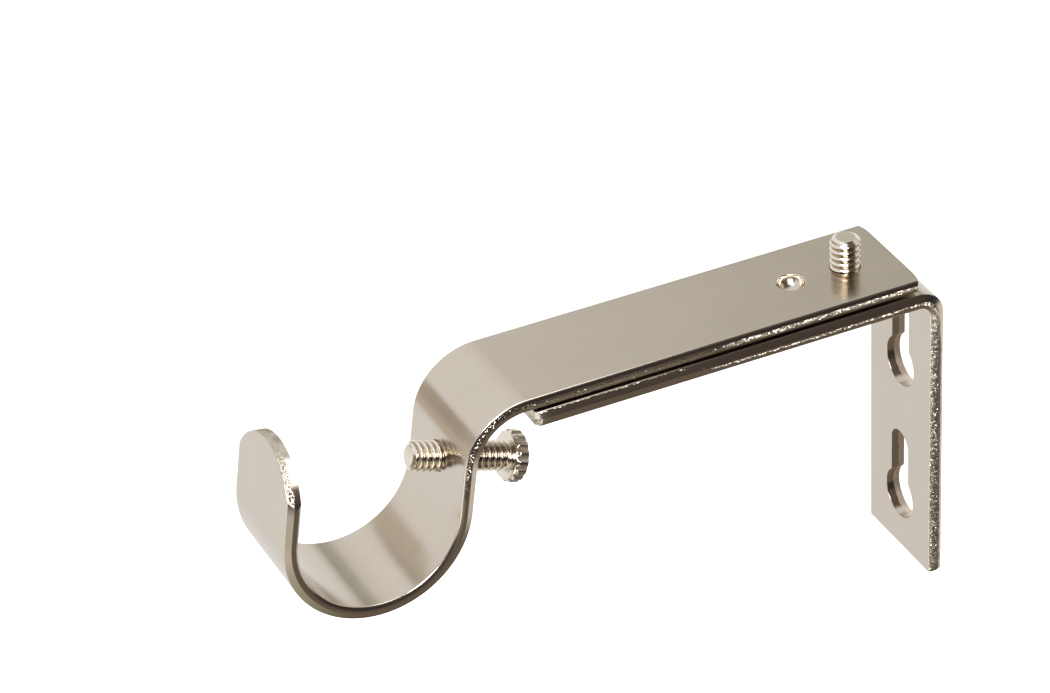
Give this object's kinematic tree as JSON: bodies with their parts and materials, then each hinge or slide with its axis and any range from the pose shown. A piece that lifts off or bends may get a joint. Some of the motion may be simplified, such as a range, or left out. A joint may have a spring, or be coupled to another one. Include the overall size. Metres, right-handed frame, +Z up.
{
  "type": "curtain pole bracket",
  "caption": "Adjustable wall bracket for a curtain pole: an L strip with keyholes, and a hook arm that slides along it and is clamped by a thumb screw.",
  "frame": {"origin": "on the wall face, mid-width, midway between the round ends of the two keyholes", "axes": "+X out from the wall along the arm, +Z up the wall leg, +Y across the strips"},
  "size_m": [0.1116, 0.019, 0.0612],
  "materials": {
    "satin_nickel": "satin nickel plate on sheared steel strip",
    "bright_nickel": "bright nickel plate on turned and rolled steel"
  },
  "bodies": {
    "wall_bracket": {"wall_bracket": "satin_nickel"},
    "hook_arm": {"hook_arm": "satin_nickel"},
    "adjusting_screw": {"adjusting_screw": "bright_nickel"},
    "rod_screw": {"rod_screw": "bright_nickel"}
  },
  "joints": [
    {"name": "arm_slide", "type": "slide", "parent": "wall_bracket", "child": "hook_arm", "axis": [1, 0, 0], "range_m": [0, 0.038]},
    {"name": "adjusting_screw_travel", "type": "slide", "parent": "hook_arm", "child": "adjusting_screw", "axis": [0, 0, 1], "range_m": [-0.0045, 0]},
    {"name": "rod_screw_travel", "type": "slide", "parent": "hook_arm", "child": "rod_screw", "axis": [0.9478, 0, 0.319], "range_m": [-0.0048, 0.008]}
  ]
}
